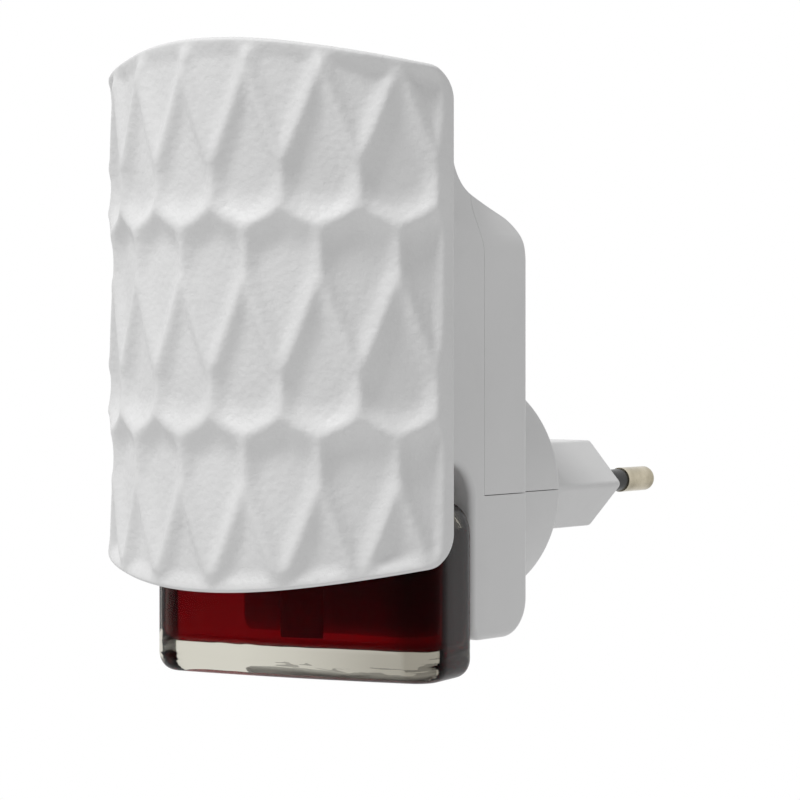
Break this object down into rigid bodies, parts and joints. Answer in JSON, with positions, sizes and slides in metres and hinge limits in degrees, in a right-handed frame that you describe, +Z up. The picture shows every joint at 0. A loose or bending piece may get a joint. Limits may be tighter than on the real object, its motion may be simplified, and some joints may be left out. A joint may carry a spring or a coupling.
{
  "type": "plug-in scented oil warmer",
  "caption": "Plug-in oil warmer: curved shade with teardrop facets, two-shell housing, swivelling two-pin plug and a rectangular glass refill whose wick stands in a ceramic heating ring.",
  "frame": {"origin": "centre of the plug nose's end face, which seats on the floor of the socket's recess", "axes": "+Y into the wall along the plug, +Z up, the shade faces -Y"},
  "size_m": [0.0654, 0.103, 0.0928],
  "materials": {
    "shade_plastic": "off-white moulded plastic with a fine leather-like grain",
    "housing_plastic": "off-white moulded plastic, smooth satin",
    "plug_plastic": "off-white moulded plastic, smooth satin",
    "inner_plastic": "heat-resistant cream plastic",
    "board": "brown laminate board",
    "ceramic": "white fired ceramic",
    "pin_metal": "nickel-plated brass",
    "sleeve_plastic": "black insulating sleeve",
    "contact_brass": "brass strip",
    "screw_steel": "zinc-plated steel",
    "resistor_body": "green-grey coated resistor",
    "fuse_body": "metal-cased thermal fuse",
    "lead_insulation": "white glass-sleeve lead",
    "washer_plastic": "slippery white washer",
    "bottle_glass": "thick clear glass",
    "oil": "dark red scented oil",
    "cap_plastic": "white moulded cap",
    "wick_fibre": "pressed fibre wick"
  },
  "bodies": {
    "housing": {"front_shade": "shade_plastic", "shade_screws": "screw_steel", "front_housing": "housing_plastic", "rear_cover": "housing_plastic", "cover_screws": "screw_steel", "friction_washer": "washer_plastic", "terminal_board": "board", "board_screws": "screw_steel", "contact_spring_live": "contact_brass", "contact_spring_neutral": "contact_brass", "lead_live": "lead_insulation", "lead_neutral": "lead_insulation", "bottle_collar": "inner_plastic", "collar_screws": "screw_steel", "heater_cup": "inner_plastic", "heater_ring": "ceramic", "heater_resistor": "resistor_body", "thermal_fuse": "fuse_body", "heater_link": "contact_brass", "vapour_duct": "inner_plastic"},
    "plug": {"plug_shell_upper": "plug_plastic", "plug_shell_lower": "plug_plastic", "plug_screws": "screw_steel", "pin_block": "plug_plastic", "pin_live": "pin_metal", "pin_neutral": "pin_metal", "sleeve_live": "sleeve_plastic", "sleeve_neutral": "sleeve_plastic", "pin_link_live": "contact_brass", "pin_link_neutral": "contact_brass", "contact_disc": "inner_plastic", "contact_ring_outer": "contact_brass", "contact_ring_inner": "contact_brass"},
    "refill": {"refill_bottle": "bottle_glass", "fragrance_oil": "oil", "neck_cap": "cap_plastic", "wick_plug": "cap_plastic", "wick": "wick_fibre"}
  },
  "joints": [
    {"name": "plug_swivel", "type": "hinge", "parent": "housing", "child": "plug", "pos_m": [0, -0.0306, 0], "axis": [0, 1, 0], "range_deg": [-90, 90]},
    {"name": "refill_slide", "type": "slide", "parent": "housing", "child": "refill", "axis": [0, 0, -1], "range_m": [0, 0.055]}
  ]
}
